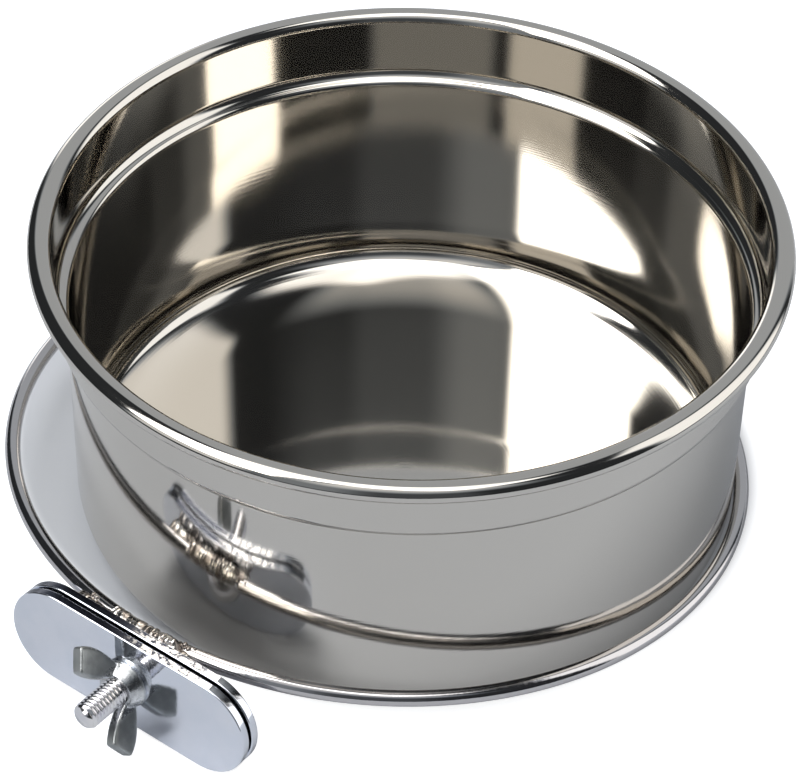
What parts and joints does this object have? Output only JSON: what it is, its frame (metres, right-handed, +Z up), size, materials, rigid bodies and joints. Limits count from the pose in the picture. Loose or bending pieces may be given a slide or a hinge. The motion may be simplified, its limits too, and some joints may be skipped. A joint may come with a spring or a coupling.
{
  "type": "seed cup",
  "caption": "Deep-drawn steel seed cup with a rolled rim and a stepped wall, standing in a wire ring whose two-plate clamp with a bolt and wing nut grips cage bars",
  "frame": {"origin": "middle of the cup's flat base, on the ground", "axes": "+Z up through the cup's open mouth; the clamp and its bolt point along -Y, away from the cup; +X to the right seen from the clamp's side"},
  "size_m": [0.1673, 0.1871, 0.0733],
  "materials": {
    "cup_steel": "mirror-polished stainless steel with faint turning marks",
    "ring_chrome": "bright plated steel wire",
    "plate_zinc": "bright zinc-plated steel with a bluish cast",
    "bolt_zinc": "bright plated steel",
    "nut_zinc": "dull zinc-plated casting, bright on its edges",
    "weld_chrome": "plated weld bead, rough and rippled"
  },
  "bodies": {
    "holder": {"holder_ring": "ring_chrome", "back_plate": "plate_zinc", "clamp_bolt": "bolt_zinc", "left_weld": "weld_chrome", "right_weld": "weld_chrome"},
    "cup": {"cup": "cup_steel"},
    "front_plate": {"front_plate": "plate_zinc"},
    "wing_nut": {"wing_nut": "nut_zinc"}
  },
  "joints": [
    {"name": "cup_lift", "type": "slide", "parent": "holder", "child": "cup", "axis": [0, 0, 1], "range_m": [0, 0.09]},
    {"name": "plate_slide", "type": "slide", "parent": "holder", "child": "front_plate", "axis": [0, -0.9948, 0.1016], "range_m": [-0.0008, 0.007]},
    {"name": "wing_nut_spin", "type": "hinge", "parent": "front_plate", "child": "wing_nut", "pos_m": [-0.00446, -0.0936, 0.0122], "axis": [0, -0.9948, 0.1016], "range_deg": [-310, 2530]}
  ],
  "couplings": [
    {"joint": "wing_nut_spin", "follows": "plate_slide", "rad_per_m": 6283.2}
  ]
}
